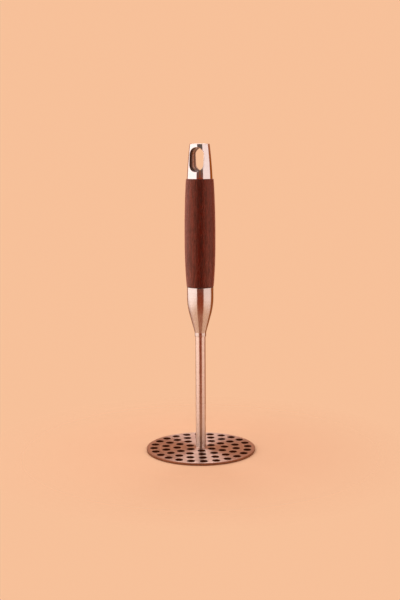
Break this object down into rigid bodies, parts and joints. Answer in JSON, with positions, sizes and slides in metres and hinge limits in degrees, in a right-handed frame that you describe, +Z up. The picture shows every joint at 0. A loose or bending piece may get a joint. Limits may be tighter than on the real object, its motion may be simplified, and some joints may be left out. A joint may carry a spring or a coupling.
{
  "type": "potato masher",
  "caption": "Hand masher: flat perforated disc on a straight shaft, flared bolster, turned wooden grip and tapering steel end cap with a hanging eye.",
  "frame": {"origin": "centre of the disc's underside, on the surface that the masher stands on", "axes": "+Z up along the shaft towards the end cap; the hanging eye runs through the cap along Y"},
  "size_m": [0.0932, 0.0932, 0.2605],
  "materials": {
    "disc_steel": "stainless steel, brushed in circles",
    "shaft_steel": "stainless steel, drawn and fine satin along the bar",
    "bolster_steel": "stainless steel, fine satin round the axis",
    "cap_steel": "stainless steel, polished",
    "grip_wood": "dark red-brown hardwood, oiled, satin, with fine straight grain",
    "seal_rubber": "matt black"
  },
  "bodies": {
    "root": {"masher_disc": "disc_steel", "foot_weld": "disc_steel", "shaft": "shaft_steel", "tang": "shaft_steel", "upper_washer": "shaft_steel", "bolster": "bolster_steel", "lower_seal": "seal_rubber", "wood_grip": "grip_wood", "end_cap": "cap_steel"}
  },
  "joints": []
}
